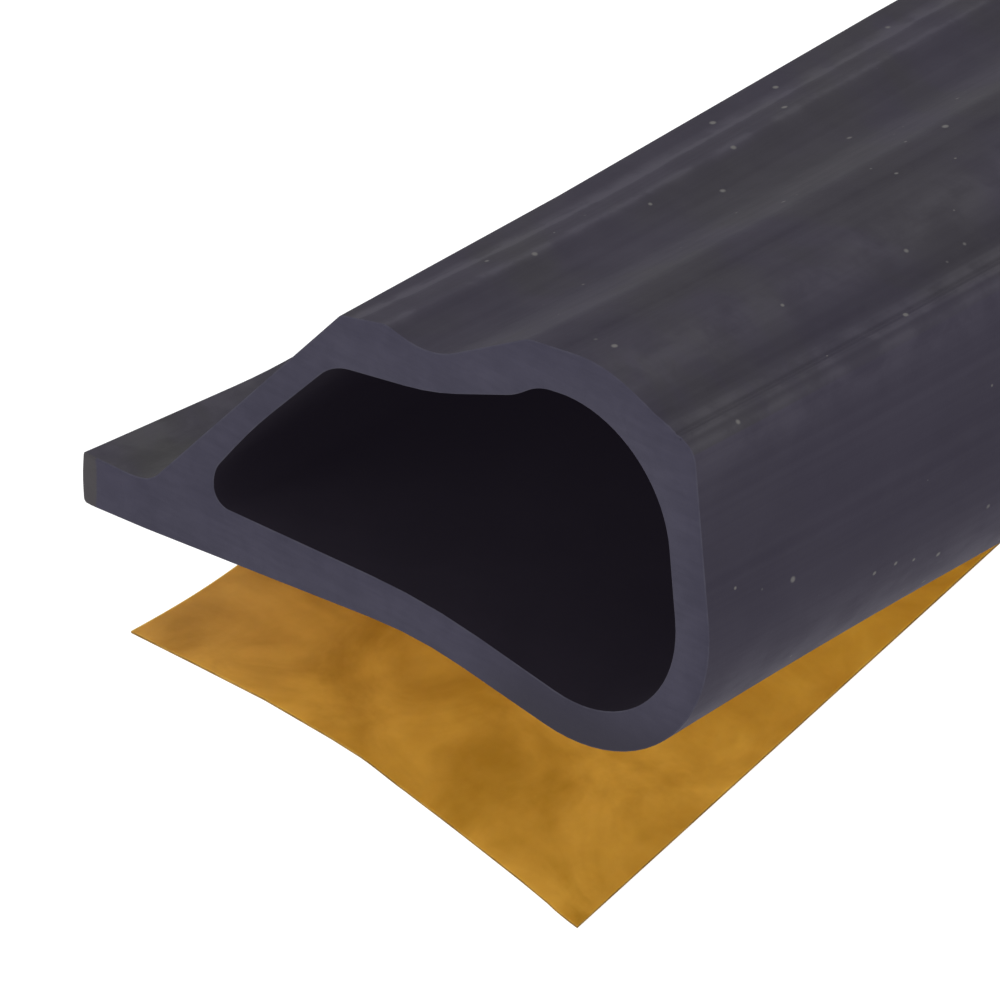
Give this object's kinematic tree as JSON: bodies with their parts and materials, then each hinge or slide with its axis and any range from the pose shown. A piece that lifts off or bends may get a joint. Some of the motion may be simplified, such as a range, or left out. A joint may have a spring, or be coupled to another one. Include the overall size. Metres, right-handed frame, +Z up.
{
  "type": "hollow self-adhesive door seal",
  "caption": "Length of hollow rubber door seal with a sloping left wall, a round right bulb and a small flange, on a paper release liner peeled back at one end.",
  "frame": {"origin": "middle of the footprint, on the floor that the seal lies on", "axes": "+Y along the seal from the peeled end to the far end, +X towards the round bulb, +Z up, away from the adhesive base"},
  "size_m": [0.0346, 1.0006, 0.0271],
  "materials": {
    "seal_rubber": "matte charcoal silicone rubber, fine lines along the length, clean knife cut at the ends",
    "liner_paper": "golden-brown coated release paper with a soft gloss"
  },
  "bodies": {
    "root": {"seal_profile": "seal_rubber", "release_liner": "liner_paper"}
  },
  "joints": []
}
